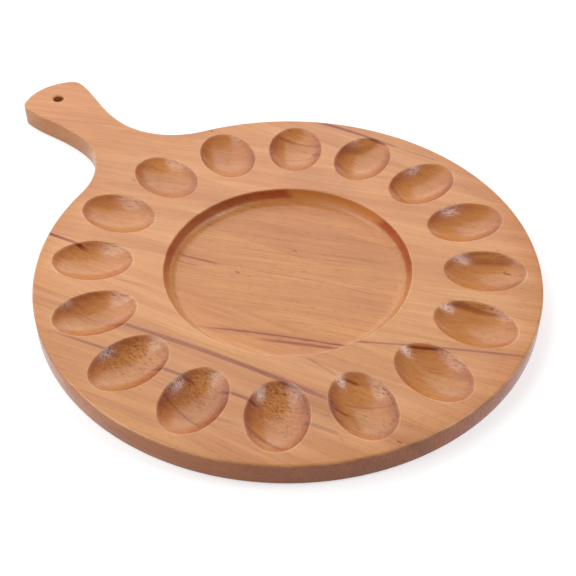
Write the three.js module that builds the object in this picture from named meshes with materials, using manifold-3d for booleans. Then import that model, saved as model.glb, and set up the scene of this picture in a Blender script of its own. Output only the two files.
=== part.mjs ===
// Round serving board for halved eggs, with a paddle handle.
// The board is a panel of wooden staves, glued edge to edge before it is sawn to its outline, and the
// egg hollows and the middle recess are then routed across the glue lines.
// Millimetres, +Z up. The origin is the middle of the round on its underside, and the handle lies along +Y.

import * as THREE from 'three';
import { mergeVertices } from 'three/addons/utils/BufferGeometryUtils.js';
import Module from 'manifold-3d';

// Board blank
const BOARD_THICKNESS = 18.4;
const EDGE_RADIUS = 1.6;
const DISC_RADIUS = 190;

// Egg hollows, in a ring between the rim and the middle recess
const HOLLOW_LENGTH = 62.5;
const HOLLOW_WIDTH = 45;
const HOLLOW_DEPTH = 8.5;
const RIM_LAND = 10.75;
const LEAST_LAND_BETWEEN_HOLLOWS = 12;

// Middle recess with a coved foot
const RECESS_LAND = 23.25;
const RECESS_DEPTH = 10.5;
const RECESS_COVE_RADIUS = 12.5;

// Paddle handle. The two pulls set how long its sides run straight at the waist and at the flare.
const HANDLE_LENGTH = 139;
const WAIST_WIDTH = 39.7;
const NECK_FILLET_RADIUS = 66.5;
const HANDLE_END_WIDTH = 59;
const WAIST_PULL = 0.44;
const FLARE_PULL = 0.33;
const END_ARC_RADIUS = 43.5;
const END_CORNER_RADIUS = 10.5;
const HANG_HOLE_DIAMETER = 9;
const HANG_HOLE_FROM_END = 23.5;

// Glued staves, which lean to the left of the handle's axis
const STAVE_LEAN = THREE.MathUtils.degToRad(20.75);
const HANDLE_STAVE_MARGIN = 2.3;
const CENTRE_RIGHT_STAVE_WIDTH = 42;
const CENTRE_LEFT_STAVE_WIDTH = 70;
const LEFT_STAVE_WIDTH = 55;
const GLUE_LINE = 0.1;

// Facets
const HOLLOW_SIDES = 32;
const HOLLOW_RINGS = 4;
const RECESS_SIDES = 80;
const COVE_STEPS = 4;
const OUTLINE_STEPS_PER_CURVE = 12;
const DISC_STEPS = 140;
const EDGE_STEPS = 2;
const HANG_HOLE_STEPS = 8;

const recessRadius = DISC_RADIUS - RIM_LAND - HOLLOW_LENGTH - RECESS_LAND;
const hollowRingRadius = DISC_RADIUS - RIM_LAND - HOLLOW_LENGTH / 2;
const hollowPitch = HOLLOW_WIDTH + LEAST_LAND_BETWEEN_HOLLOWS;
const hollowCount = Math.floor((2 * Math.PI * hollowRingRadius) / hollowPitch);
const handleEnd = DISC_RADIUS + HANDLE_LENGTH;

// A cutter rises this far past the face that it opens, so that no two faces coincide.
const OVERCUT = 3;

const wasm = await Module();
wasm.setup();

// Closed three.js geometry to solid
function toSolid(geometry) {
  const bare = geometry.clone();
  bare.deleteAttribute('normal');
  bare.deleteAttribute('uv');
  const merged = mergeVertices(bare, 1e-4);
  return new wasm.Manifold(new wasm.Mesh({
    numProp: 3,
    vertProperties: new Float32Array(merged.attributes.position.array),
    triVerts: new Uint32Array(merged.index.array),
  }));
}

// Solid to flat-shaded three.js geometry
function toGeometry(solid) {
  const mesh = solid.getMesh();
  const indexed = new THREE.BufferGeometry();
  indexed.setAttribute('position', new THREE.BufferAttribute(mesh.vertProperties, mesh.numProp));
  indexed.setIndex(new THREE.BufferAttribute(mesh.triVerts, 1));
  const flat = indexed.toNonIndexed();
  flat.computeVertexNormals();
  return flat;
}

// Points where the right side of the outline changes from one curve to the next
function outlineJoints() {
  const neckCentre = new THREE.Vector2(WAIST_WIDTH / 2 + NECK_FILLET_RADIUS, 0);
  neckCentre.y = Math.sqrt((DISC_RADIUS + NECK_FILLET_RADIUS) ** 2 - neckCentre.x ** 2);
  const endCentre = new THREE.Vector2(0, handleEnd - END_ARC_RADIUS);
  const cornerCentre = new THREE.Vector2(HANDLE_END_WIDTH / 2 - END_CORNER_RADIUS, 0);
  const cornerReach = END_ARC_RADIUS - END_CORNER_RADIUS;
  cornerCentre.y = endCentre.y + Math.sqrt(cornerReach ** 2 - cornerCentre.x ** 2);
  return { neckCentre, endCentre, cornerCentre };
}

// Outline from the disc, through the concave neck and the waist, to the flared and rounded handle end
function boardOutline() {
  const { neckCentre, endCentre, cornerCentre } = outlineJoints();
  const neckAngle = Math.atan2(neckCentre.y, neckCentre.x);
  const cornerAngle = Math.atan2(cornerCentre.y - endCentre.y, cornerCentre.x);
  const waist = new THREE.Vector2(WAIST_WIDTH / 2, neckCentre.y);
  const flare = new THREE.Vector2(HANDLE_END_WIDTH / 2, cornerCentre.y);
  const flareRun = flare.y - waist.y;
  const waistPull = waist.y + WAIST_PULL * flareRun;
  const flarePull = flare.y - FLARE_PULL * flareRun;

  const side = new THREE.Path();
  side.absarc(neckCentre.x, neckCentre.y, NECK_FILLET_RADIUS, neckAngle + Math.PI, Math.PI, true);
  side.bezierCurveTo(waist.x, waistPull, flare.x, flarePull, flare.x, flare.y);
  side.absarc(cornerCentre.x, cornerCentre.y, END_CORNER_RADIUS, 0, cornerAngle, false);
  side.absarc(endCentre.x, endCentre.y, END_ARC_RADIUS, cornerAngle, Math.PI / 2, false);
  const right = side.getPoints(OUTLINE_STEPS_PER_CURVE);
  const left = right.slice(0, -1).reverse().map((point) => new THREE.Vector2(-point.x, point.y));

  const disc = new THREE.Path();
  disc.absarc(0, 0, DISC_RADIUS, Math.PI - neckAngle, neckAngle + 2 * Math.PI, false);
  const round = disc.getPoints(DISC_STEPS).slice(1, -1);
  return new THREE.Shape([...right, ...left, ...round]);
}

// Board blank with its eased edges and the hanging hole near the handle's end
function boardBlank() {
  const outline = boardOutline();
  const hangHole = new THREE.Path();
  hangHole.absarc(0, handleEnd - HANG_HOLE_FROM_END, HANG_HOLE_DIAMETER / 2, 0, 2 * Math.PI, true);
  outline.holes.push(new THREE.Path(hangHole.getPoints(HANG_HOLE_STEPS)));
  const blank = new THREE.ExtrudeGeometry(outline, {
    depth: BOARD_THICKNESS - 2 * EDGE_RADIUS,
    bevelThickness: EDGE_RADIUS,
    bevelSize: EDGE_RADIUS,
    bevelOffset: -EDGE_RADIUS,
    bevelSegments: EDGE_STEPS,
  });
  blank.translate(0, 0, EDGE_RADIUS);
  return toSolid(blank);
}

// Round cutter for the recess: a flat foot, then a cove that turns up to the wall
function recessCutter() {
  const coveTurn = Math.acos(Math.max(0, 1 - RECESS_DEPTH / RECESS_COVE_RADIUS));
  const footRadius = recessRadius - RECESS_COVE_RADIUS * Math.sin(coveTurn);
  const floor = BOARD_THICKNESS - RECESS_DEPTH;
  const profile = [new THREE.Vector2(0, floor)];
  for (let step = 0; step <= COVE_STEPS; step += 1) {
    const turn = (coveTurn * step) / COVE_STEPS;
    const radius = footRadius + RECESS_COVE_RADIUS * Math.sin(turn);
    profile.push(new THREE.Vector2(radius, floor + RECESS_COVE_RADIUS * (1 - Math.cos(turn))));
  }
  profile.push(new THREE.Vector2(recessRadius, BOARD_THICKNESS + OVERCUT));
  profile.push(new THREE.Vector2(0, BOARD_THICKNESS + OVERCUT));
  return toSolid(new THREE.LatheGeometry(profile, RECESS_SIDES).rotateX(Math.PI / 2));
}

// Cutter for one hollow: a spherical scoop, drawn out to an ellipse along the board's radius
function hollowCutter() {
  const rimRadius = HOLLOW_WIDTH / 2;
  const scoopRadius = (rimRadius ** 2 + HOLLOW_DEPTH ** 2) / (2 * HOLLOW_DEPTH);
  const scoopTurn = 2 * Math.atan(HOLLOW_DEPTH / rimRadius);
  const bottom = BOARD_THICKNESS - HOLLOW_DEPTH;
  const profile = [];
  for (let step = 0; step <= HOLLOW_RINGS; step += 1) {
    const turn = (scoopTurn * step) / HOLLOW_RINGS;
    profile.push(new THREE.Vector2(scoopRadius * Math.sin(turn), bottom + scoopRadius * (1 - Math.cos(turn))));
  }
  profile.push(new THREE.Vector2(rimRadius, BOARD_THICKNESS + OVERCUT));
  profile.push(new THREE.Vector2(0, BOARD_THICKNESS + OVERCUT));
  const scoop = new THREE.LatheGeometry(profile, HOLLOW_SIDES).rotateX(Math.PI / 2);
  return scoop.scale(1, HOLLOW_LENGTH / HOLLOW_WIDTH, 1);
}

// Whole panel: the blank with its recess and its ring of hollows, the first of them on the handle's axis
function routedPanel() {
  let panel = boardBlank().subtract(recessCutter());
  const scoop = hollowCutter().translate(0, hollowRingRadius, 0);
  for (let index = 0; index < hollowCount; index += 1) {
    const turned = scoop.clone().rotateZ((2 * Math.PI * index) / hollowCount);
    panel = panel.subtract(toSolid(turned));
  }
  return panel;
}

// Distance of a point from the board's middle, measured square to the staves
function acrossStaves(x, y) {
  return x * Math.cos(STAVE_LEAN) + y * Math.sin(STAVE_LEAN);
}

// Seams from left to right. The handle stave is wide enough to carry the whole handle in one piece.
function seamPlaces() {
  const { neckCentre, cornerCentre } = outlineJoints();
  const waistSide = acrossStaves(-WAIST_WIDTH / 2, neckCentre.y);
  const cornerSide = acrossStaves(cornerCentre.x, cornerCentre.y) + END_CORNER_RADIUS;
  const handleLeft = waistSide - HANDLE_STAVE_MARGIN;
  const handleRight = cornerSide + HANDLE_STAVE_MARGIN;
  const centreRight = handleLeft - CENTRE_RIGHT_STAVE_WIDTH;
  const centreLeft = centreRight - CENTRE_LEFT_STAVE_WIDTH;
  const leftInner = centreLeft - LEFT_STAVE_WIDTH;
  return [leftInner, centreLeft, centreRight, handleLeft, handleRight];
}

const STAVES = [
  { name: 'left_rim_stave', color: 0xd6955f },
  { name: 'left_stave', color: 0xd89a64 },
  { name: 'centre_left_stave', color: 0xd19063 },
  { name: 'centre_right_stave', color: 0xcf8d60 },
  { name: 'handle_stave', color: 0xd2905f },
  { name: 'right_rim_stave', color: 0xcb8657 },
];

// One slab of the panel between two seams, less half a glue line on each side
function staveSlab(left, right) {
  const reach = 2 * (handleEnd + DISC_RADIUS);
  const slab = new THREE.BoxGeometry(right - left - GLUE_LINE, reach, BOARD_THICKNESS + 2 * OVERCUT);
  slab.translate((left + right) / 2, 0, BOARD_THICKNESS / 2);
  return toSolid(slab.rotateZ(STAVE_LEAN));
}

function buildBoard() {
  const board = new THREE.Group();
  const panel = routedPanel();
  const blankEdge = DISC_RADIUS + OVERCUT;
  const bounds = [-blankEdge, ...seamPlaces(), blankEdge];
  STAVES.forEach(({ name, color }, index) => {
    const stave = panel.intersect(staveSlab(bounds[index], bounds[index + 1]));
    const material = new THREE.MeshStandardMaterial({ color, roughness: 0.38, metalness: 0 });
    const mesh = new THREE.Mesh(toGeometry(stave), material);
    mesh.name = name;
    board.add(mesh);
  });
  return board;
}

export default buildBoard();
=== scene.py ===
"""Studio view of a round egg serving board: six glued staves with routed hollows and a paddle handle."""
import math

import bmesh
import bpy
from mathutils import Matrix, Vector


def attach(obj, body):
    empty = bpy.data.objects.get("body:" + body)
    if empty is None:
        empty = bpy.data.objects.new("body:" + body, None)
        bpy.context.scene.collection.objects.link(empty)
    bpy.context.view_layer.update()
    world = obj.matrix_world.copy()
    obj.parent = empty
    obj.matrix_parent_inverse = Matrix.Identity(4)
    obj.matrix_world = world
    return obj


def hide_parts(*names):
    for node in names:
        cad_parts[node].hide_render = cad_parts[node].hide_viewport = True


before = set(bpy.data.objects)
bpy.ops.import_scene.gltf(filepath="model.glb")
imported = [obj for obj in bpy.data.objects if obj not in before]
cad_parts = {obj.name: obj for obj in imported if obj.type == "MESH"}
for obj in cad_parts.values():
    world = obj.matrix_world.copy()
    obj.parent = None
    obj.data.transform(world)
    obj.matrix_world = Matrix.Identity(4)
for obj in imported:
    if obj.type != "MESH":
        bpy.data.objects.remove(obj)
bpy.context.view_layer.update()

MM = 0.001
FULL_TURN = 2 * math.pi

# The board, with the same driving sizes as its solids
DISC_RADIUS = 190 * MM
BOARD_THICKNESS = 18.4 * MM
EDGE_RADIUS = 1.6 * MM
HOLLOW_LENGTH = 62.5 * MM
HOLLOW_WIDTH = 45 * MM
HOLLOW_DEPTH = 8.5 * MM
HOLLOW_COUNT = 16
HOLLOW_RING_RADIUS = 148 * MM
RECESS_RADIUS = 93.5 * MM
RECESS_DEPTH = 10.5 * MM
RECESS_COVE_RADIUS = 12.5 * MM
HANDLE_LENGTH = 139 * MM
WAIST_WIDTH = 39.7 * MM
NECK_FILLET_RADIUS = 66.5 * MM
HANDLE_END_WIDTH = 59 * MM
WAIST_PULL = 0.44
FLARE_PULL = 0.33
END_ARC_RADIUS = 43.5 * MM
END_CORNER_RADIUS = 10.5 * MM
HANG_HOLE_RADIUS = 4.5 * MM
HANG_HOLE_FROM_END = 23.5 * MM
STAVE_LEAN = math.radians(20.75)
SEAMS = [place * MM for place in (-102.29, -47.29, 22.71, 64.71, 141.28)]

# Small forms that only the dressed board has
LIP_RADIUS = 1.0 * MM
SEAM_GAP = 0.03 * MM

# Wear, with a painted highlight along it, on the softened lip of a scoop: where it starts, over its crest
# and where it ends
WEAR_AND_HIGHLIGHT_LAYER = "edge_wear_and_highlight"
LIP_START_WEAR_AND_HIGHLIGHT = 0.4
LIP_WEAR_AND_HIGHLIGHT = 1.0
LIP_END_WEAR_AND_HIGHLIGHT = 0.6

# Facets
HOLLOW_SIDES = 96
SCOOP_STEPS = 14
LIP_STEPS = 4
RECESS_SIDES = 288
DISC_STEPS = 560
CURVE_STEPS = 40
EDGE_STEPS = 5
HOLE_SIDES = 40

# A mesh point this near to a cut, in metres, counts as on it
CUT_TOLERANCE = 1e-8

STAVE_NAMES = [
    "left_rim_stave",
    "left_stave",
    "centre_left_stave",
    "centre_right_stave",
    "handle_stave",
    "right_rim_stave",
]


# Outline of the board

def arc(centre, radius, start, end, steps):
    """Points on an arc, from one angle to another, both ends included."""
    points = []
    for step in range(steps + 1):
        turn = start + (end - start) * step / steps
        points.append(Vector((centre[0] + radius * math.cos(turn), centre[1] + radius * math.sin(turn))))
    return points


def bezier(p0, p1, p2, p3, steps):
    """Points on a cubic curve, both ends included."""
    points = []
    for step in range(steps + 1):
        t = step / steps
        s = 1 - t
        points.append(p0 * s ** 3 + p1 * 3 * s * s * t + p2 * 3 * s * t * t + p3 * t ** 3)
    return points


def board_outline():
    """The plan of the board, anticlockwise, as a closed list of points."""
    waist = WAIST_WIDTH / 2
    flare = HANDLE_END_WIDTH / 2
    handle_end = DISC_RADIUS + HANDLE_LENGTH
    neck_x = waist + NECK_FILLET_RADIUS
    neck_y = math.sqrt((DISC_RADIUS + NECK_FILLET_RADIUS) ** 2 - neck_x ** 2)
    neck_turn = math.atan2(neck_y, neck_x)
    end_y = handle_end - END_ARC_RADIUS
    corner_x = flare - END_CORNER_RADIUS
    corner_y = end_y + math.sqrt((END_ARC_RADIUS - END_CORNER_RADIUS) ** 2 - corner_x ** 2)
    corner_turn = math.atan2(corner_y - end_y, corner_x)
    run = corner_y - neck_y

    neck = arc((neck_x, neck_y), NECK_FILLET_RADIUS, neck_turn + math.pi, math.pi, CURVE_STEPS)
    waist_point = Vector((waist, neck_y))
    flare_point = Vector((flare, corner_y))
    side = bezier(
        waist_point,
        waist_point + Vector((0, run * WAIST_PULL)),
        flare_point - Vector((0, run * FLARE_PULL)),
        flare_point,
        CURVE_STEPS,
    )
    corner = arc((corner_x, corner_y), END_CORNER_RADIUS, 0, corner_turn, CURVE_STEPS // 2)
    end = arc((0, end_y), END_ARC_RADIUS, corner_turn, math.pi / 2, CURVE_STEPS // 2)
    right = neck[:-1] + side[:-1] + corner[:-1] + end[:-1]
    left = [Vector((-p.x, p.y)) for p in reversed(right)]
    disc = arc((0, 0), DISC_RADIUS, math.pi - neck_turn, neck_turn + FULL_TURN, DISC_STEPS)
    return right + [Vector((0, handle_end))] + left + disc[1:-1]


def inset(points, distance):
    """The outline moved inwards along its own normals."""
    moved = []
    for index, point in enumerate(points):
        before = points[index - 1]
        after = points[(index + 1) % len(points)]
        along = (after - before).normalized()
        moved.append(point + Vector((-along.y, along.x)) * distance)
    return moved


# Mesh of the whole panel

def add_ring(bm, wear_and_highlight_layer, points, height, wear_and_highlight):
    """A closed row of vertices at one height."""
    ring = []
    for point in points:
        vert = bm.verts.new((point[0], point[1], height))
        vert[wear_and_highlight_layer] = wear_and_highlight
        ring.append(vert)
    return ring


def bridge(bm, rings):
    """Smooth quads between each row and the next one below it, all with the same count."""
    for upper, lower in zip(rings, rings[1:]):
        count = len(upper)
        for index in range(count):
            after = (index + 1) % count
            face = bm.faces.new((lower[index], lower[after], upper[after], upper[index]))
            face.smooth = True


def ring_edges(bm, ring):
    """The edges along a closed row."""
    return [bm.edges.get((ring[index - 1], ring[index])) for index in range(len(ring))]


def scoop_profile(foot_radius, arc_radius, arc_height):
    """Radius, height, and wear with its painted highlight, from the lip down to the foot of a routed scoop
    with a softened lip.
    """
    centre_height = BOARD_THICKNESS + arc_height
    lip_drop = arc_height + LIP_RADIUS
    lip_reach = math.sqrt((arc_radius + LIP_RADIUS) ** 2 - lip_drop ** 2)
    wall_turn = math.atan2(lip_reach, lip_drop)
    profile = []
    for step in range(LIP_STEPS):
        turn = wall_turn * step / LIP_STEPS
        radius = foot_radius + lip_reach - LIP_RADIUS * math.sin(turn)
        height = BOARD_THICKNESS - LIP_RADIUS * (1 - math.cos(turn))
        profile.append((radius, height, LIP_WEAR_AND_HIGHLIGHT if step else LIP_START_WEAR_AND_HIGHLIGHT))
    for step in range(SCOOP_STEPS + 1):
        turn = wall_turn * (1 - step / SCOOP_STEPS)
        radius = foot_radius + arc_radius * math.sin(turn)
        height = centre_height - arc_radius * math.cos(turn)
        profile.append((radius, height, 0.0 if step else LIP_END_WEAR_AND_HIGHLIGHT))
    return profile


def add_hollow(bm, wear_and_highlight_layer, turn):
    """One egg hollow, long way along the ring's radius; gives its top row."""
    half_width = HOLLOW_WIDTH / 2
    arc_radius = (half_width ** 2 + HOLLOW_DEPTH ** 2) / (2 * HOLLOW_DEPTH)
    stretch = HOLLOW_LENGTH / HOLLOW_WIDTH
    outward = Vector((math.cos(turn), math.sin(turn)))
    sideways = Vector((-outward.y, outward.x))
    centre = outward * HOLLOW_RING_RADIUS
    rings = []
    profile = scoop_profile(0.0, arc_radius, arc_radius - HOLLOW_DEPTH)
    for radius, height, wear_and_highlight in profile[:-1]:
        points = []
        for side in range(HOLLOW_SIDES):
            around = FULL_TURN * side / HOLLOW_SIDES
            reach = outward * (radius * stretch * math.cos(around)) + sideways * (radius * math.sin(around))
            points.append(centre + reach)
        rings.append(add_ring(bm, wear_and_highlight_layer, points, height, wear_and_highlight))
    bridge(bm, rings)
    pole = bm.verts.new((centre.x, centre.y, profile[-1][1]))
    last = rings[-1]
    for side in range(HOLLOW_SIDES):
        face = bm.faces.new((last[side], last[(side + 1) % HOLLOW_SIDES], pole))
        face.smooth = True
    return rings[0]


def add_recess(bm, wear_and_highlight_layer):
    """The round middle recess with its coved wall and flat floor; gives its top row."""
    arc_height = RECESS_COVE_RADIUS - RECESS_DEPTH
    wall_reach = math.sqrt(RECESS_COVE_RADIUS ** 2 - arc_height ** 2)
    foot_radius = RECESS_RADIUS - wall_reach
    rings = []
    for radius, height, wear_and_highlight in scoop_profile(foot_radius, RECESS_COVE_RADIUS, arc_height):
        points = arc((0, 0), radius, 0, FULL_TURN, RECESS_SIDES)[:-1]
        rings.append(add_ring(bm, wear_and_highlight_layer, points, height, wear_and_highlight))
    bridge(bm, rings)
    bm.faces.new(rings[-1])
    return rings[0]


def eased_rows(outline, sign):
    """Rows of points, height, and wear with its painted highlight, down an eased edge; sign +1 is for an
    outline, -1 for a hole.
    """
    rows = []
    for step in range(EDGE_STEPS + 1):
        turn = math.pi / 2 * step / EDGE_STEPS
        drop = EDGE_RADIUS * (1 - math.cos(turn))
        rows.append((EDGE_RADIUS * (1 - math.sin(turn)), BOARD_THICKNESS - drop, math.sin(2 * turn)))
    lower = [(depth, BOARD_THICKNESS - height, wear_and_highlight) for depth, height, wear_and_highlight in reversed(rows)]
    return [(inset(outline, sign * depth), height, wear_and_highlight) for depth, height, wear_and_highlight in rows + lower]


def add_side(bm, wear_and_highlight_layer, outline, sign):
    """A vertical side with both its edges eased; gives its top and bottom rows."""
    rings = [add_ring(bm, wear_and_highlight_layer, *row) for row in eased_rows(outline, sign)]
    bridge(bm, rings)
    return rings[0], rings[-1]


def fill_between(bm, rings):
    """Flat faces over the area between an outer row and the rows inside it."""
    edges = [edge for ring in rings for edge in ring_edges(bm, ring)]
    bmesh.ops.triangle_fill(bm, use_beauty=True, use_dissolve=False, edges=edges)


def whole_panel():
    """The finished board as one closed mesh, before it is parted along its glue lines."""
    bm = bmesh.new()
    wear_and_highlight_layer = bm.verts.layers.float.new(WEAR_AND_HIGHLIGHT_LAYER)
    outer_top, outer_bottom = add_side(bm, wear_and_highlight_layer, board_outline(), 1)
    hole_y = DISC_RADIUS + HANDLE_LENGTH - HANG_HOLE_FROM_END
    hole = arc((0, hole_y), HANG_HOLE_RADIUS, 0, FULL_TURN, HOLE_SIDES)[:-1]
    hole_top, hole_bottom = add_side(bm, wear_and_highlight_layer, hole, -1)
    top_rows = [outer_top, hole_top, add_recess(bm, wear_and_highlight_layer)]
    for index in range(HOLLOW_COUNT):
        top_rows.append(add_hollow(bm, wear_and_highlight_layer, math.pi / 2 - FULL_TURN * index / HOLLOW_COUNT))
    fill_between(bm, top_rows)
    fill_between(bm, [outer_bottom, hole_bottom])
    bmesh.ops.recalc_face_normals(bm, faces=bm.faces)
    return bm


# Staves

ACROSS = Vector((math.cos(STAVE_LEAN), math.sin(STAVE_LEAN), 0))


def part_at(bm, place, keep_right):
    """Cuts the mesh on a glue line, keeps one side and closes it with a flat sharp-edged face."""
    everything = list(bm.verts) + list(bm.edges) + list(bm.faces)
    cut = bmesh.ops.bisect_plane(
        bm,
        geom=everything,
        dist=CUT_TOLERANCE,
        plane_co=ACROSS * place,
        plane_no=ACROSS,
        clear_inner=keep_right,
        clear_outer=not keep_right,
    )
    edges = [item for item in cut["geom_cut"] if isinstance(item, bmesh.types.BMEdge)]
    for edge in edges:
        edge.smooth = False
    bmesh.ops.triangle_fill(bm, use_beauty=True, use_dissolve=False, edges=edges)


def make_stave(panel, name, left_seam, right_seam, material):
    """One stave of the panel between two glue lines, as its own closed mesh."""
    bm = panel.copy()
    if left_seam is not None:
        part_at(bm, left_seam + SEAM_GAP / 2, True)
    if right_seam is not None:
        part_at(bm, right_seam - SEAM_GAP / 2, False)
    bmesh.ops.recalc_face_normals(bm, faces=bm.faces)
    mesh = bpy.data.meshes.new(name + "_visual")
    bm.to_mesh(mesh)
    bm.free()
    mesh.materials.append(material)
    stave = bpy.data.objects.new(name + "_visual", mesh)
    bpy.context.scene.collection.objects.link(stave)
    return stave


# Shader nodes

class NodeTree:
    """A short way to write a shader: each call adds one node, links its inputs and gives its output."""

    def __init__(self, tree):
        self.tree = tree

    def add(self, kind, **settings):
        """A new node with these settings."""
        node = self.tree.nodes.new(kind)
        for key, value in settings.items():
            setattr(node, key, value)
        return node

    def feed(self, socket, value):
        """Links an input to another node's output, or sets it to a plain value."""
        if isinstance(value, bpy.types.NodeSocket):
            self.tree.links.new(value, socket)
        else:
            socket.default_value = value

    def math(self, operation, *values):
        """One sum on one to three values."""
        node = self.add("ShaderNodeMath", operation=operation)
        for socket, value in zip(node.inputs, values):
            self.feed(socket, value)
        return node.outputs[0]

    def times(self, first, *others):
        """The product of all the values."""
        product = first
        for other in others:
            product = self.math("MULTIPLY", product, other)
        return product

    def step(self, value, limits, first=0.0, last=1.0):
        """A smooth step from first to last while the value goes from one limit to the other."""
        node = self.add("ShaderNodeMapRange", interpolation_type="SMOOTHSTEP", clamp=True)
        for socket, item in zip(node.inputs, (value, *limits, first, last)):
            self.feed(socket, item)
        return node.outputs[0]

    def fall(self, value, limits):
        """A smooth step from 1 down to 0 while the value goes from one limit to the other."""
        return self.step(value, limits, 1.0, 0.0)

    def line(self, value, start, end):
        """The value's place on a straight scale that is 0 at start and 1 at end, and goes on past both."""
        node = self.add("ShaderNodeMapRange", interpolation_type="LINEAR", clamp=False)
        for socket, item in zip(node.inputs, (value, start, end, 0.0, 1.0)):
            self.feed(socket, item)
        return node.outputs[0]

    def vector(self, x, y, z):
        """Three values as one vector."""
        node = self.add("ShaderNodeCombineXYZ")
        for socket, value in zip(node.inputs, (x, y, z)):
            self.feed(socket, value)
        return node.outputs[0]

    def noise(self, vector, scale, detail=2.0, roughness=0.5):
        """Smooth noise about a mean of one half."""
        node = self.add("ShaderNodeTexNoise")
        self.feed(node.inputs["Vector"], vector)
        node.inputs["Scale"].default_value = scale
        node.inputs["Detail"].default_value = detail
        node.inputs["Roughness"].default_value = roughness
        return node.outputs["Fac"]

    def swing(self, noise, size):
        """Noise turned into a shift to either side."""
        return self.times(self.math("SUBTRACT", noise, 0.5), size)

    def tones(self, value, stops):
        """A colour ramp."""
        node = self.add("ShaderNodeValToRGB")
        self.feed(node.inputs[0], value)
        elements = node.color_ramp.elements
        while len(elements) < len(stops):
            elements.new(0.5)
        for element, (place, colour) in zip(elements, stops):
            element.position = place
            element.color = (*colour, 1)
        return node.outputs[0]

    def mix(self, factor, first, second, blend="MIX"):
        """A share of the second colour laid over the first."""
        node = self.add("ShaderNodeMix", data_type="RGBA", blend_type=blend)
        self.feed(node.inputs[0], factor)
        for socket, value in ((node.inputs[6], first), (node.inputs[7], second)):
            self.feed(socket, value if isinstance(value, bpy.types.NodeSocket) else (*value, 1))
        return node.outputs[2]


# Streaks in the wood, and broad bands of painted shade

MARK_SIZES = ["Run start", "Run end", "Across start", "Across rise", "Bow", "Core", "Fade"]

# Limits, as shares of a mark's length, between which it comes in from each of its ends
MARK_TIPS = (0.0, 0.25)


def make_mark_group():
    """A shader group that marks one bowed band right through the thickness, used for streaks and pits in the
    wood and for broad bands of painted shade.
    """
    group = bpy.data.node_groups.new("bowed_mark", "ShaderNodeTree")
    for name in ["Run", "Across"] + MARK_SIZES + ["Strength"]:
        group.interface.new_socket(name, in_out="INPUT", socket_type="NodeSocketFloat")
    group.interface.new_socket("Mark", in_out="OUTPUT", socket_type="NodeSocketFloat")
    t = NodeTree(group)
    given = t.add("NodeGroupInput").outputs
    part = t.line(given["Run"], given["Run start"], given["Run end"])
    rest = t.math("SUBTRACT", 1.0, part)
    straight = t.math("MULTIPLY_ADD", part, given["Across rise"], given["Across start"])
    # 0 at both ends and 1 halfway
    hump = t.times(part, rest, 4.0)
    centre = t.math("MULTIPLY_ADD", hump, given["Bow"], straight)
    distance = t.math("ABSOLUTE", t.math("SUBTRACT", given["Across"], centre))
    body = t.fall(distance, (given["Core"], given["Fade"]))
    mark = t.times(body, t.step(part, MARK_TIPS), t.step(rest, MARK_TIPS), given["Strength"])
    t.feed(t.add("NodeGroupOutput").inputs["Mark"], mark)
    return group


# Streaks, small pits written as very short streaks, and a few broad bands of painted shade: run and across
# of each end in mm, bow in mm, core and faded half widths in mm, strength. Those of the top face run on,
# weaker, below it;
# the others show only on the recess floor or only in the hollows
TOP_STREAKS_AND_SHADE = {
    "left_rim_stave": [
        ((156, -114), (-135, -110), 6.5, 1.3, 2.2, 0.95),
        ((150, -114), (-130, -110), 6.5, 1.0, 9.0, 0.18),
        ((140, -138.5), (-112, -131.2), 2.7, 0.8, 1.9, 0.95),
        ((136, -138), (-108, -131), 2.7, 1.0, 8.0, 0.15),
        ((24, -160.5), (-50, -152.5), 0, 0.5, 2.4, 0.50),
        ((-76, -131.5), (-106, -131), 0, 0.9, 2.4, 0.60),
        ((-10, -120), (-130, -123), 1, 0.2, 2.4, 0.30),
        ((-138.5, -119.7), (-143.5, -119.7), 0, 0.4, 1.0, 0.85),
        # Painted shade: a broad dark band over the front right of the top
        ((-40, -106), (-200, -106), 0, 6, 30, 0.20),
    ],
    "left_stave": [
        ((-50, -79), (-84, -86.5), 0.8, 0.4, 1.6, 0.60),
        ((112, -71), (74, -66), 0.5, 0.3, 1.6, 0.35),
        ((-40, -66), (-212, -4), 3.0, 0.7, 1.7, 0.95),
        # Painted shade: a broad dark band over the front right of the top
        ((0, -82), (-210, -82), 0, 8, 34, 0.15),
        ((204, -49.6), (140, -49.6), 0, 1.5, 1.6, 1.0),
    ],
    "centre_left_stave": [
        ((-40, -66), (-212, -4), 3.0, 0.6, 1.5, 0.90),
        ((-40, -66), (-212, -4), 3.0, 1.0, 7.0, 0.20),
        ((165, -33), (90, -19.5), 2, 0.2, 1.8, 0.30),
        ((-116, 19), (-162, 20), 1.2, 0.3, 2.6, 0.50),
    ],
    "centre_right_stave": [
        ((162.5, 36.9), (157.5, 36.9), 0, 0.4, 1.0, 0.85),
    ],
    "handle_stave": [
        ((276, 77), (210, 98), 1, 0.3, 1.5, 0.35),
        ((139.5, 125.8), (134.5, 125.8), 0, 0.4, 1.0, 0.85),
        ((62, 103.5), (-16, 103.5), 0, 2, 24, 0.25),
        ((-10, 92), (-230, 92), 0, 14, 52, 0.08),
    ],
    "right_rim_stave": [
        ((72, 178.5), (-24, 174), 2.5, 1.0, 2.4, 0.95),
        ((-14, 175), (-58, 173), 0, 0.3, 1.6, 0.40),
    ],
}
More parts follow.
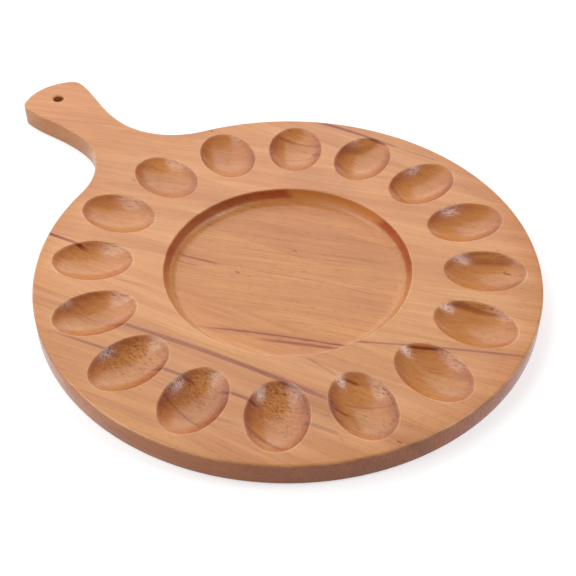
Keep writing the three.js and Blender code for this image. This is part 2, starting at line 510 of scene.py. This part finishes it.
FLOOR_STREAKS = {
    "left_stave": [
        ((46, -82), (-110, -40), 3.5, 0.4, 1.4, 0.85),
        ((30, -75), (-112, -40), 2.6, 0.2, 1.2, 0.55),
        ((0, -73), (-112, -40.5), 1.0, 0.3, 2.8, 0.75),
        ((46, -82), (-110, -40), 3.5, 0.6, 6.0, 0.25),
    ],
    "centre_left_stave": [
        ((100, -18.5), (48, -11.5), 0.6, 0.4, 1.5, 0.62),
        ((100, -21), (62, -19), -2.5, 0.3, 1.5, 0.50),
        ((46, -12), (-80, 11), 4, 0.2, 1.3, 0.30),
        ((38.5, -13.7), (33.5, -13.7), 0, 0.4, 1.0, 0.75),
    ],
    "centre_right_stave": [
        ((10.5, 28), (5.5, 28), 0, 0.4, 1.0, 0.75),
    ],
}
HOLLOW_STREAKS_AND_SHADE = {
    "left_rim_stave": [
        # Painted shade in one hollow: a broad dark band, then a sharp line along the edge of that shade
        ((48, -147), (-56, -149), 0, 8, 26, 0.22),
        ((30, -147), (-26, -165.5), 0, 0.5, 1.8, 0.55),
        ((-32, -146), (-84, -158), -2, 0.6, 2.4, 0.50),
        ((-80, -111), (-104, -108.6), 0, 0.5, 1.3, 0.80),
        ((-87, -115.8), (-102, -120.6), 0, 0.4, 1.3, 0.70),
    ],
    "left_stave": [
        ((-76, -85.2), (-99, -82.4), 0, 0.5, 1.4, 0.80),
        ((-90, -103), (-138, -85.5), 0, 0.3, 1.4, 0.35),
    ],
    "centre_left_stave": [
        ((-112, 15.5), (-176, 24), 1.5, 1.0, 3.0, 0.55),
    ],
    "handle_stave": [
        ((-98, 62), (-170, 88.5), 1.5, 1.2, 4.5, 0.40),
        ((-145, 71.9), (-153.5, 70.8), 0, 0.4, 1.0, 0.90),
        ((30, 136), (6, 131), 0, 1.5, 4.5, 0.35),
        ((-22, 133), (-52, 111), 0, 0.8, 3.5, 0.40),
        ((70, 122), (34, 141), 1.5, 0.3, 1.6, 0.40),
        ((49, 140.4), (41, 141.2), 0, 0.8, 1.8, 0.80),
    ],
    "right_rim_stave": [
        ((92, 142), (38, 148), 5, 0.4, 2.0, 0.45),
        ((34, 143), (-2, 180), 0, 2, 7, 0.30),
    ],
}


# Wood

# Grain of each stave: how far it runs off the stave's line, the lean of its rings in degrees, tone,
# how much it tore out where it was scooped, and a seed
GRAIN = {
    "left_rim_stave": (0.02, 32, (0.94, 0.95, 0.93), 0.95, 3.1),
    "left_stave": (0.00, 40, (1.02, 1.05, 1.04), 0.22, 7.7),
    "centre_left_stave": (-0.22, 50, (1.00, 1.02, 1.01), 0.15, 12.4),
    "centre_right_stave": (-0.26, 55, (0.96, 0.97, 0.95), 0.12, 18.9),
    "handle_stave": (-0.24, 48, (1.02, 1.02, 0.99), 0.15, 25.3),
    "right_rim_stave": (0.06, 38, (0.98, 0.98, 0.96), 0.18, 31.6),
}

# Fine grain, drawn out along the run: squeeze of the run, noise scale per metre, detail and roughness
RUN_SQUEEZE = 0.035
FIBRES = (RUN_SQUEEZE, 620.0, 2.0, 0.60)
LINES = (RUN_SQUEEZE * 0.6, 300.0, 3.0, 0.65)
PORES = (0.15, 1150.0, 1.0, 0.50)
FLECKS = (0.35, 950.0, 1.5, 0.60)

# Other noise, with scales per metre, and squeezes of the directions in which it is drawn out
WANDER_SCALE = 16.0
WANDER_SQUEEZE = 0.4
WANDER = 16 * MM
BAND_NOISE = {"scale": 110.0, "detail": 5.0, "roughness": 0.62}
TANGENT_TILT_SHARE = 0.3
TANGENT_SQUEEZE = 0.25
PATCH_SCALE = 9.0
MOTTLE_NOISE = {"scale": 210.0, "detail": 4.0, "roughness": 0.70}
HATCH_SCALE = 1300.0
HATCH_RUN_SQUEEZE = 0.9
HATCH_UP_SQUEEZE = 0.12
WOBBLE_SCALE = 260.0
WOBBLE = 1.3 * MM

# Limits of regions by slope, which is the upward part of the surface's normal, 0 upright and 1 level
UPRIGHT_SLOPE = (0.15, 0.55)
RIM_SLOPE = (0.05, 0.50)
SCOOP_SLOPE = (0.74, 0.99)
COVE_SLOPE = (0.55, 0.97)
RECESS_WALL_SLOPE = (0.66, 0.74)

# Limits of regions by place
RECESS_EDGE = (RECESS_RADIUS, RECESS_RADIUS + 2 * MM)
DISC_EDGE = (DISC_RADIUS + 2 * MM, DISC_RADIUS + 12 * MM)
RECESS_FLOOR = BOARD_THICKNESS - RECESS_DEPTH
FLOOR_SKIN = (RECESS_FLOOR + 0.3 * MM, RECESS_FLOOR + 1.5 * MM)
HOLLOW_TOP = (BOARD_THICKNESS - 1.4 * MM, BOARD_THICKNESS - 0.4 * MM)
HOLLOW_BASE = (6 * MM, 8 * MM)
TOP_MARK_DEPTH = (BOARD_THICKNESS - 7 * MM, BOARD_THICKNESS - 1 * MM)
WALL_COLOUR_CHANGE = (81 * MM, 85 * MM)
GOLDEN_COVE = (60 * MM, 84 * MM)

# Steps of the grain's noise: two limits of its value, and what is given at each of them
PATCH_STEP = ((0.35, 0.70), 0.0, 1.0)
FIBRE_STEP = ((0.32, 0.60), 0.32, 0.0)
LINE_STEP = ((0.54, 0.70), 0.0, 0.34)
PORE_STEP = ((0.65, 0.73), 0.0, 1.0)
DARK_FLECK_STEP = ((0.56, 0.68), 0.0, 0.85)
PALE_FLECK_STEP = ((0.30, 0.48), 0.55, 0.0)
BROKEN_MARK_STEP = ((0.25, 0.55), 0.75, 1.0)
HATCH_STEP = ((0.36, 0.64), 0.20, 0.85)
MOTTLE_STEP = ((0.35, 0.65), 0.45, 1.0)
WORN_AND_HIGHLIT_BAND_STEP = ((0.35, 0.70), 0.25, 0.65)
ROUGHNESS_STEP = ((0.30, 0.70), 0.24, 0.18)

# Steps by region, by place and by the way the surface faces, written alike
SCOOP_PORE_STEP = ((0.0, 1.0), 0.36, 0.66)
DEEP_MARK_STEP = ((0.0, 1.0), 0.35, 0.15)
RING_END_STEP = ((0.0, 1.0), 0.1, 1.0)
# Where painted shade darkens the upright back of the recess wall, along the run and across
WALL_SHADE_RUN_STEP = ((-93 * MM, -78 * MM), 0.15, 0.92)
WALL_SHADE_ACROSS_STEP = ((-65 * MM, -25 * MM), 0.05, 1.0)
TORN_RUN_STEP = ((60 * MM, 90 * MM), 1.0, 0.3)
TORN_ACROSS_STEP = ((-0.08, 0.22), 1.0, 0.12)
TORN_ALONG_STEP = ((0.05, 0.40), 1.0, 0.35)
SOAKED_STEP = ((0.12, 0.55), 0.0, 0.75)

# Shares and powers
SCOOP_PORE_GAIN = 0.09
CUT_END_POWER = 1.5
GOLDEN_WALL_SHARE = 0.6

# Linear colours of the growth bands, and of what is painted over them
BAND_TONES = [
    (0.25, (0.480, 0.183, 0.050)),
    (0.45, (0.548, 0.223, 0.064)),
    (0.60, (0.590, 0.249, 0.073)),
    (0.80, (0.630, 0.276, 0.084)),
]
FIBRE_COLOUR = (0.31, 0.092, 0.028)
PORE_COLOUR = (0.16, 0.040, 0.016)
PALE_FLECK_COLOUR = (0.70, 0.33, 0.12)
GOLDEN_WALL_COLOUR = (0.60, 0.25, 0.075)
# Pale worn lacquer on edges and lips, which also paints a highlight along them
WORN_AND_HIGHLIT_COLOUR = (0.76, 0.42, 0.22)

# Tints that multiply the colour under them
PATCH_TINT = (0.95, 0.87, 0.90)
LINE_TINT = (0.74, 0.58, 0.48)
DARK_FLECK_TINT = (0.40, 0.27, 0.20)
# Dark streaks in the wood, and broad bands of painted shade
STREAK_AND_SHADE_TINT = (0.38, 0.08, 0.01)
CUT_END_TINT = (0.62, 0.36, 0.30)
# Painted shade on the upright sawn rim, darker and redder all round
SAWN_RIM_SHADE_TINT = (0.98, 0.74, 0.56)
# Painted shade on the sloped walls of the hollows, broken by the grain's own mottle
SCOOP_MOTTLE_AND_SHADE_TINT = (0.90, 0.74, 0.56)
SOAKED_TINT = (0.66, 0.39, 0.26)
# Painted shade on the upright back of the recess wall
RECESS_WALL_SHADE_TINT = (0.72, 0.34, 0.07)
GOLDEN_COVE_TINT = (1.0, 0.83, 0.53)

# Lacquer and relief
LACQUER_IOR = 1.5
LACQUER_SPECULAR = 0.45
COVE_ROUGHNESS = 0.45
SCOOP_ROUGHNESS = 0.07
PORE_ROUGHNESS = 0.15
PORE_DENT = 0.8
FIBRE_RELIEF = 0.5
BUMP_STRENGTH = 0.5
BUMP_DISTANCE = 0.2 * MM


class StaveWood(NodeTree):
    """The lacquered wood of one stave: growth bands, fibres, pores, torn fibres and its own dark streaks,
    with painted shade and a painted highlight laid over them.
    """

    def __init__(self, name, mark_group):
        self.name = name
        self.mark_group = mark_group
        self.run_off, self.ring_lean, self.tone, self.tear_out, self.seed = GRAIN[name]
        self.material = bpy.data.materials.new("lacquered_" + name)
        self.material.use_nodes = True
        super().__init__(self.material.node_tree)
        self.find_places()
        self.find_regions()
        self.grow_grain()
        self.colour_grain()
        self.add_flecks()
        self.add_streaks_and_shade_marks()
        self.colour_cuts()
        self.set_shader()

    def by_stave(self, vector):
        """A vector's parts across the stave, along its run and up."""
        turned = self.add("ShaderNodeVectorRotate", rotation_type="Z_AXIS")
        self.feed(turned.inputs["Vector"], vector)
        turned.inputs["Angle"].default_value = -STAVE_LEAN
        split = self.add("ShaderNodeSeparateXYZ")
        self.feed(split.inputs[0], turned.outputs[0])
        return split.outputs

    def fine_grain(self, kind, seed):
        """Noise of one kind of fine grain, drawn out along the grain's own line."""
        squeeze, scale, detail, roughness = kind
        along = self.math("MULTIPLY_ADD", self.run, squeeze, seed)
        return self.noise(self.vector(self.tilted, along, self.up), scale, detail, roughness)

    def paint(self, factor, colour):
        """Covers a share of the colour so far."""
        self.colour = self.mix(factor, self.colour, colour)

    def tint(self, factor, colour):
        """Multiplies a share of the colour so far."""
        self.colour = self.mix(factor, self.colour, colour, "MULTIPLY")

    def find_places(self):
        """Where a point lies and which way the surface faces there, in the stave's own directions."""
        self.across, self.run, self.up = self.by_stave(self.add("ShaderNodeTexCoord").outputs["Object"])
        normal = self.add("ShaderNodeNewGeometry").outputs["True Normal"]
        self.faces_across, self.faces_along, faces_up = self.by_stave(normal)
        self.upward = self.math("ABSOLUTE", faces_up)
        self.endward = self.math("ABSOLUTE", self.faces_along)
        across_square = self.math("MULTIPLY", self.across, self.across)
        self.from_middle = self.math("SQRT", self.math("MULTIPLY_ADD", self.run, self.run, across_square))

    def find_regions(self):
        """Masks for the recess wall and cove, the hollows and the sawn rim; the back of the recess wall and
        the sawn rim take painted shade.
        """
        in_recess = self.fall(self.from_middle, RECESS_EDGE)
        self.in_ring = self.math("SUBTRACT", 1.0, in_recess)
        not_upright = self.step(self.upward, UPRIGHT_SLOPE)
        self.scooped = self.times(self.fall(self.upward, SCOOP_SLOPE), not_upright, self.in_ring)
        at_hollow_depth = self.times(self.fall(self.up, HOLLOW_TOP), self.step(self.up, HOLLOW_BASE))
        self.in_hollow = self.times(at_hollow_depth, not_upright, self.in_ring)
        self.cove = self.times(self.fall(self.upward, COVE_SLOPE), in_recess)
        wall = self.times(self.fall(self.upward, RECESS_WALL_SLOPE), in_recess)
        self.golden_wall = self.times(wall, self.step(self.across, WALL_COLOUR_CHANGE))
        # Painted shade goes on the upright back of the recess wall, less its golden part
        self.shaded_recess_wall = self.times(
            self.math("SUBTRACT", wall, self.golden_wall),
            self.step(self.run, *WALL_SHADE_RUN_STEP),
            self.step(self.across, *WALL_SHADE_ACROSS_STEP),
        )
        on_disc = self.fall(self.from_middle, DISC_EDGE)
        self.sawn_rim = self.times(self.fall(self.upward, RIM_SLOPE), self.in_ring, on_disc)

    def grow_grain(self):
        """Growth bands, which wander along the stave and lean through its thickness, fibres and pores."""
        slow_place = self.vector(self.across, self.times(self.run, WANDER_SQUEEZE), self.seed)
        wander = self.swing(self.noise(slow_place, WANDER_SCALE), WANDER)
        wandering = self.math("ADD", self.across, wander)
        self.tilted = self.math("MULTIPLY_ADD", self.run, -self.run_off, wandering)
        lean = math.radians(self.ring_lean)
        ring = self.math("ADD", self.times(self.tilted, math.cos(lean)), self.times(self.up, math.sin(lean)))
        tangent = self.math(
            "SUBTRACT",
            self.times(self.up, math.cos(lean)),
            self.times(self.tilted, math.sin(lean) * TANGENT_TILT_SHARE),
        )
        along = self.math("MULTIPLY_ADD", self.run, RUN_SQUEEZE, self.seed)
        self.band_place = self.vector(ring, along, self.times(tangent, TANGENT_SQUEEZE))
        self.bands = self.noise(self.band_place, **BAND_NOISE)
        self.fibres = self.fine_grain(FIBRES, self.seed)
        pores = self.fine_grain(PORES, self.seed)
        more_on_scoops = self.math("MULTIPLY_ADD", self.scooped, SCOOP_PORE_GAIN, pores)
        self.pores = self.step(more_on_scoops, *PORE_STEP)

    def colour_grain(self):
        """Colours the bands, and lays patches, fibres, lines and pores over them."""
        self.colour = self.tones(self.bands, BAND_TONES)
        patch_place = self.vector(self.across, self.math("ADD", self.run, self.seed), self.up)
        self.tint(self.step(self.noise(patch_place, PATCH_SCALE), *PATCH_STEP), PATCH_TINT)
        self.paint(self.step(self.fibres, *FIBRE_STEP), FIBRE_COLOUR)
        lines = self.fine_grain(LINES, 2 * self.seed)
        self.tint(self.step(lines, *LINE_STEP), LINE_TINT)
        self.paint(self.times(self.pores, self.step(self.scooped, *SCOOP_PORE_STEP)), PORE_COLOUR)

    def add_flecks(self):
        """Dark and pale flecks in the hollows, on the walls where the cutter tore the fibres."""
        torn = self.times(
            self.in_hollow,
            self.step(self.faces_across, *TORN_ACROSS_STEP),
            self.step(self.faces_along, *TORN_ALONG_STEP),
            self.step(self.run, *TORN_RUN_STEP),
            self.tear_out,
        )
        flecks = self.fine_grain(FLECKS, self.seed)
        self.tint(self.times(torn, self.step(flecks, *DARK_FLECK_STEP)), DARK_FLECK_TINT)
        self.paint(self.times(torn, self.step(flecks, *PALE_FLECK_STEP)), PALE_FLECK_COLOUR)

    def add_streaks_and_shade_marks(self):
        """The stave's own dark streaks, and its broad bands of painted shade, each in the layer of the board
        where it shows.
        """
        wobble = self.swing(self.noise(self.band_place, WOBBLE_SCALE), WOBBLE)
        wobbly_across = self.math("ADD", self.across, wobble)
        deep_share = self.step(self.in_ring, *DEEP_MARK_STEP)
        near_top = self.step(self.up, TOP_MARK_DEPTH, deep_share, 1.0)
        near_floor = self.fall(self.up, FLOOR_SKIN)
        layers = ((near_top, TOP_STREAKS_AND_SHADE), (near_floor, FLOOR_STREAKS), (self.in_hollow, HOLLOW_STREAKS_AND_SHADE))
        marks = 0.0
        for layer, mark_table in layers:
            for start, end, *widths, strength in mark_table.get(self.name, []):
                mark_node = self.add("ShaderNodeGroup", node_tree=self.mark_group)
                self.feed(mark_node.inputs["Run"], self.run)
                self.feed(mark_node.inputs["Across"], wobbly_across)
                mark_node.inputs["Strength"].default_value = strength
                sizes = (start[0], end[0], start[1], end[1] - start[1], *widths)
                for size_name, size in zip(MARK_SIZES, sizes):
                    mark_node.inputs[size_name].default_value = size * MM
                marks = self.math("MAXIMUM", marks, self.times(mark_node.outputs[0], layer))
        # Dark streaks, and broad bands of painted shade, broken by the fibres
        broken = self.times(marks, self.step(self.fibres, *BROKEN_MARK_STEP))
        self.tint(broken, STREAK_AND_SHADE_TINT)

    def colour_cuts(self):
        """Cut fibre ends drink more lacquer and turn darker, and worn edges lose some and turn paler, with a
        painted highlight along them; painted shade darkens the sawn rim, the sloped walls of the hollows and
        the back of the recess wall.
        """
        hatch_run = self.times(self.run, HATCH_RUN_SQUEEZE)
        hatch_place = self.vector(self.tilted, hatch_run, self.times(self.up, HATCH_UP_SQUEEZE))
        cut_ends = self.times(
            self.math("POWER", self.endward, CUT_END_POWER),
            self.step(self.noise(hatch_place, HATCH_SCALE), *HATCH_STEP),
            self.step(self.in_ring, *RING_END_STEP),
        )
        self.tint(cut_ends, CUT_END_TINT)
        # Painted shade: the upright sides of the rim turn darker and redder all round
        self.tint(self.sawn_rim, SAWN_RIM_SHADE_TINT)
        # Painted shade, broken by the grain's own mottle: sloped faces outside the recess, mostly the walls
        # of the hollows, turn darker and more orange
        mottle = self.step(self.noise(self.band_place, **MOTTLE_NOISE), *MOTTLE_STEP)
        self.tint(self.times(self.scooped, mottle), SCOOP_MOTTLE_AND_SHADE_TINT)
        # Painted shade: the upright back of the recess wall turns a deep red brown
        self.tint(self.shaded_recess_wall, RECESS_WALL_SHADE_TINT)
        self.paint(self.times(self.golden_wall, GOLDEN_WALL_SHARE), GOLDEN_WALL_COLOUR)
        self.tint(self.times(self.cove, self.step(self.across, GOLDEN_COVE)), GOLDEN_COVE_TINT)
        self.tint(self.times(self.scooped, self.step(self.endward, *SOAKED_STEP)), SOAKED_TINT)
        # Paler worn lacquer along the eased edges and lips, which also paints a highlight along them
        wear_and_highlight = self.add("ShaderNodeAttribute", attribute_name=WEAR_AND_HIGHLIGHT_LAYER).outputs["Fac"]
        self.paint(self.times(wear_and_highlight, self.step(self.bands, *WORN_AND_HIGHLIT_BAND_STEP)), WORN_AND_HIGHLIT_COLOUR)
        self.tint(1.0, self.tone)

    def set_shader(self):
        """Feeds the colour, gloss and relief to the material's shader."""
        shader = self.tree.nodes["Principled BSDF"]
        self.feed(shader.inputs["Base Color"], self.colour)
        rough = self.step(self.bands, *ROUGHNESS_STEP)
        rough = self.math("MULTIPLY_ADD", self.cove, COVE_ROUGHNESS, rough)
        rough = self.math("MULTIPLY_ADD", self.scooped, SCOOP_ROUGHNESS, rough)
        rough = self.math("MULTIPLY_ADD", self.pores, PORE_ROUGHNESS, rough)
        self.feed(shader.inputs["Roughness"], rough)
        shader.inputs["IOR"].default_value = LACQUER_IOR
        shader.inputs["Specular IOR Level"].default_value = LACQUER_SPECULAR
        relief = self.math("MULTIPLY_ADD", self.pores, -PORE_DENT, self.times(self.fibres, FIBRE_RELIEF))
        bump = self.add("ShaderNodeBump")
        bump.inputs["Strength"].default_value = BUMP_STRENGTH
        bump.inputs["Distance"].default_value = BUMP_DISTANCE
        self.feed(bump.inputs["Height"], relief)
        self.feed(shader.inputs["Normal"], bump.outputs[0])


def build_board():
    """The six staves, each riding on the board's one body in place of its solid."""
    panel = whole_panel()
    mark_group = make_mark_group()
    seams = [None] + SEAMS + [None]
    for index, name in enumerate(STAVE_NAMES):
        wood = StaveWood(name, mark_group)
        stave = make_stave(panel, name, seams[index], seams[index + 1], wood.material)
        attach(stave, "root")
        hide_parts(name)
    panel.free()


# Camera, fitted to the board's outline in the photograph

CAMERA_AZIMUTH = math.radians(-42.25)
CAMERA_ELEVATION = math.radians(42.98)
CAMERA_ROLL = math.radians(-0.264)
CAMERA_DISTANCE = 837.3 * MM
CAMERA_AIM = Vector((-16.65 * MM, -18.6 * MM, BOARD_THICKNESS))
CAMERA_LENS = 71.06
SENSOR_WIDTH = 36.0

# Level directions as the camera sees them
RIGHTWARD = Vector((math.cos(CAMERA_AZIMUTH), math.sin(CAMERA_AZIMUTH), 0))
AWAY = Vector((-RIGHTWARD.y, RIGHTWARD.x, 0))


def add_camera():
    """The camera at the photograph's place, with its small roll."""
    back = Vector((0, 0, math.sin(CAMERA_ELEVATION))) - AWAY * math.cos(CAMERA_ELEVATION)
    up = back.cross(RIGHTWARD)
    rolled_right = RIGHTWARD * math.cos(CAMERA_ROLL) + up * math.sin(CAMERA_ROLL)
    rolled_up = up * math.cos(CAMERA_ROLL) - RIGHTWARD * math.sin(CAMERA_ROLL)
    data = bpy.data.cameras.new("photo_camera")
    data.sensor_width = SENSOR_WIDTH
    data.sensor_fit = "HORIZONTAL"
    data.lens = CAMERA_LENS
    camera = bpy.data.objects.new("photo_camera", data)
    turn = Matrix((rolled_right, rolled_up, back)).transposed().to_4x4()
    camera.matrix_world = Matrix.Translation(CAMERA_AIM + back * CAMERA_DISTANCE) @ turn
    bpy.context.scene.collection.objects.link(camera)
    bpy.context.scene.camera = camera


# Studio

# Softboxes: place and aim as metres to the camera's right, away from it and up, then width and height
# in metres, and watts
SOFTBOXES = {
    "key_softbox": ((-0.55, 1.00, 0.95), (-0.08, 0, 0), (2.4, 1.4), 18.4),
    "right_softbox": ((0.93, -0.08, 1.17), (0, 0, 0), (0.46, 0.46), 6.6),
    "left_softbox": ((-0.92, -0.12, 1.20), (0, 0, 0), (0.9, 0.8), 10.6),
    "low_right_softbox": ((1.12, 0.10, 0.24), (0, 0, 0), (0.5, 0.3), 2.2),
    "low_left_softbox": ((-1.08, -0.50, 0.24), (-0.20, 0.15, 0), (0.5, 0.3), 1.3),
}

# World: limits of the height where its white sweep ends, limits from in front of the board to behind it,
# and strengths
SWEEP_HEIGHT = (0.12, 0.32)
SWEEP_STRENGTH = 1.30
OVERHEAD_STRENGTH = 0.20
FRONT_TO_BACK = (-0.7, 0.3)
FRONT_SHARE = 0.35

# Floor: sizes in metres, and a glow that makes it white further out
FLOOR_HALF_SIDE = 3.0
FLOOR_DROP = 0.02 * MM
PAPER_NOISE = {"scale": 40.0, "detail": 3.0}
PAPER_TONES = [(0.3, (0.57, 0.57, 0.57)), (0.7, (0.59, 0.59, 0.59))]
PAPER_ROUGHNESS = 0.9
GLOW_REACH = (0.45, 1.1)
NEAR_GLOW = 0.56


def studio_point(right, away, height):
    """A point given as seen by the camera: to its right, away from it and up, in metres."""
    return RIGHTWARD * right + AWAY * away + Vector((0, 0, height))


def add_softboxes():
    """Area lamps round the board."""
    for name, (place, aim, size, watts) in SOFTBOXES.items():
        data = bpy.data.lights.new(name, "AREA")
        data.shape = "RECTANGLE"
        data.size, data.size_y = size
        data.energy = watts
        lamp = bpy.data.objects.new(name, data)
        lamp.location = studio_point(*place)
        beam = studio_point(*aim) - studio_point(*place)
        lamp.rotation_euler = beam.to_track_quat("-Z", "Y").to_euler()
        bpy.context.scene.collection.objects.link(lamp)


def seen_rays(t):
    """1 on rays from the camera or off a glossy or clear surface, which show the studio as white."""
    path = t.add("ShaderNodeLightPath").outputs
    mirrored = t.math("MAXIMUM", path["Is Glossy Ray"], path["Is Transmission Ray"])
    return t.math("MAXIMUM", path["Is Camera Ray"], mirrored)


def add_world():
    """A white sweep low down behind the board; it lights little from above and from the front."""
    world = bpy.data.worlds.new("studio")
    bpy.context.scene.world = world
    world.use_nodes = True
    t = NodeTree(world.node_tree)
    ambient = world.node_tree.nodes["Background"]
    ambient.inputs["Color"].default_value = (1, 1, 1, 1)
    direction = t.add("ShaderNodeSeparateXYZ")
    t.feed(direction.inputs[0], t.add("ShaderNodeTexCoord").outputs["Generated"])
    x, y, height = direction.outputs
    behind = t.math("MULTIPLY_ADD", y, AWAY.y, t.times(x, AWAY.x))
    light = t.times(
        t.step(height, SWEEP_HEIGHT, SWEEP_STRENGTH, OVERHEAD_STRENGTH),
        t.step(behind, FRONT_TO_BACK, FRONT_SHARE, 1.0),
    )
    backdrop = t.times(seen_rays(t), t.fall(height, SWEEP_HEIGHT))
    t.feed(ambient.inputs["Strength"], t.math("MAXIMUM", light, backdrop))


def add_floor():
    """A pale floor that takes the board's soft shadow and looks white elsewhere."""
    mesh = bpy.data.meshes.new("floor")
    half = FLOOR_HALF_SIDE
    corners = [(-half, -half, 0), (half, -half, 0), (half, half, 0), (-half, half, 0)]
    mesh.from_pydata(corners, [], [(0, 1, 2, 3)])
    floor = bpy.data.objects.new("floor", mesh)
    floor.location.z = -FLOOR_DROP
    bpy.context.scene.collection.objects.link(floor)
    material = bpy.data.materials.new("pale_floor")
    material.use_nodes = True
    t = NodeTree(material.node_tree)
    shader = material.node_tree.nodes["Principled BSDF"]
    place = t.add("ShaderNodeTexCoord").outputs["Object"]
    t.feed(shader.inputs["Base Color"], t.tones(t.noise(place, **PAPER_NOISE), PAPER_TONES))
    shader.inputs["Roughness"].default_value = PAPER_ROUGHNESS
    shader.inputs["Specular IOR Level"].default_value = 0.0
    from_middle = t.add("ShaderNodeVectorMath", operation="LENGTH")
    t.feed(from_middle.inputs[0], place)
    glow = t.add("ShaderNodeEmission")
    lift = t.step(from_middle.outputs["Value"], GLOW_REACH, NEAR_GLOW, 1.0)
    t.feed(glow.inputs["Strength"], t.times(seen_rays(t), lift))
    both = t.add("ShaderNodeAddShader")
    t.feed(both.inputs[0], shader.outputs[0])
    t.feed(both.inputs[1], glow.outputs[0])
    t.feed(material.node_tree.nodes["Material Output"].inputs["Surface"], both.outputs[0])
    mesh.materials.append(material)


build_board()
add_camera()
add_softboxes()
add_world()
add_floor()
bpy.context.scene.view_settings.view_transform = "Standard"
